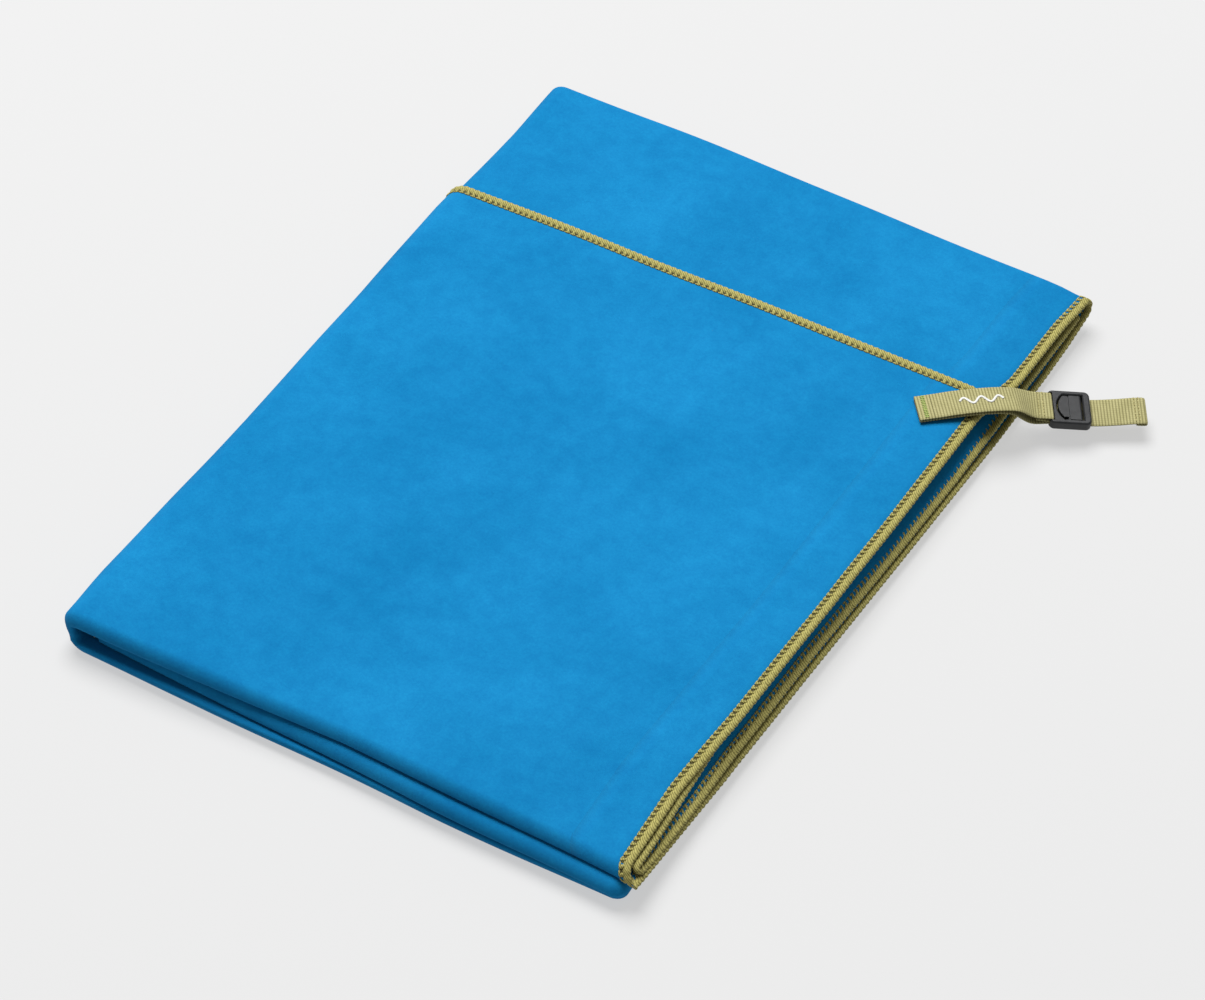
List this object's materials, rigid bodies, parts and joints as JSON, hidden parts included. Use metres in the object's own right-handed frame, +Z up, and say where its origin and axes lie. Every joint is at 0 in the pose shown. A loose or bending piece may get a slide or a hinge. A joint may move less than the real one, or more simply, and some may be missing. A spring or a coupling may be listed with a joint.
{
  "type": "folded quick-dry travel towel",
  "caption": "Suede microfibre travel towel folded flat in thirds, with overlocked edges and a corner webbing loop closed by a small cam buckle.",
  "frame": {"origin": "centre of the face that the folded packet lies on", "axes": "+Z up out of the table, +Y along the packet's longer side towards its back fold, +X towards the open bound side"},
  "size_m": [0.2888, 0.342, 0.0211],
  "materials": {
    "towel_cloth": "brushed suede microfibre",
    "edging_thread": "overlock stitching",
    "webbing": "ribbed woven tape",
    "strap_thread": "sewing thread",
    "bartack_thread": "lime sewing thread",
    "motif_print": "soft print",
    "buckle_plastic": "satin moulded",
    "pin_steel": "plain"
  },
  "bodies": {
    "folded_base": {"bottom_third": "towel_cloth", "right_fold": "towel_cloth", "middle_third": "towel_cloth", "hem_edging_base": "edging_thread", "far_hem_edging_base": "edging_thread", "inner_side_edging": "edging_thread"},
    "opening_third": {"top_third": "towel_cloth", "hem_edging_top": "edging_thread", "far_hem_edging_top": "edging_thread", "side_edging": "edging_thread", "strap_sewn_end": "webbing", "corner_bartack": "bartack_thread"},
    "hanging_strap": {"strap_upper_run": "webbing", "strap_lower_run": "webbing", "loop_stitching": "strap_thread", "strap_motif": "motif_print", "buckle_frame": "buckle_plastic", "lever_pin": "pin_steel"},
    "lever": {"cam_lever": "buckle_plastic"},
    "tail": {"strap_tail": "webbing", "tail_stitching": "strap_thread"}
  },
  "joints": [
    {"name": "top_third_opens", "type": "hinge", "parent": "folded_base", "child": "opening_third", "pos_m": [-0.121, 0, 0.009], "axis": [0, -1, 0], "range_deg": [0, 180]},
    {"name": "strap_swings", "type": "hinge", "parent": "opening_third", "child": "hanging_strap", "pos_m": [0.10071, 0.07869, 0.02055], "axis": [0.6293, -0.7771, 0], "range_deg": [0, 160]},
    {"name": "cam_lever_lifts", "type": "hinge", "parent": "hanging_strap", "child": "lever", "pos_m": [0.14417, 0.11419, 0.00996], "axis": [-0.531, 0.841, 0.1037], "range_deg": [0, 70]},
    {"name": "tail_pulls_through", "type": "slide", "parent": "hanging_strap", "child": "tail", "axis": [0.8324, 0.5406, -0.1219], "range_m": [0, 0.012]}
  ]
}
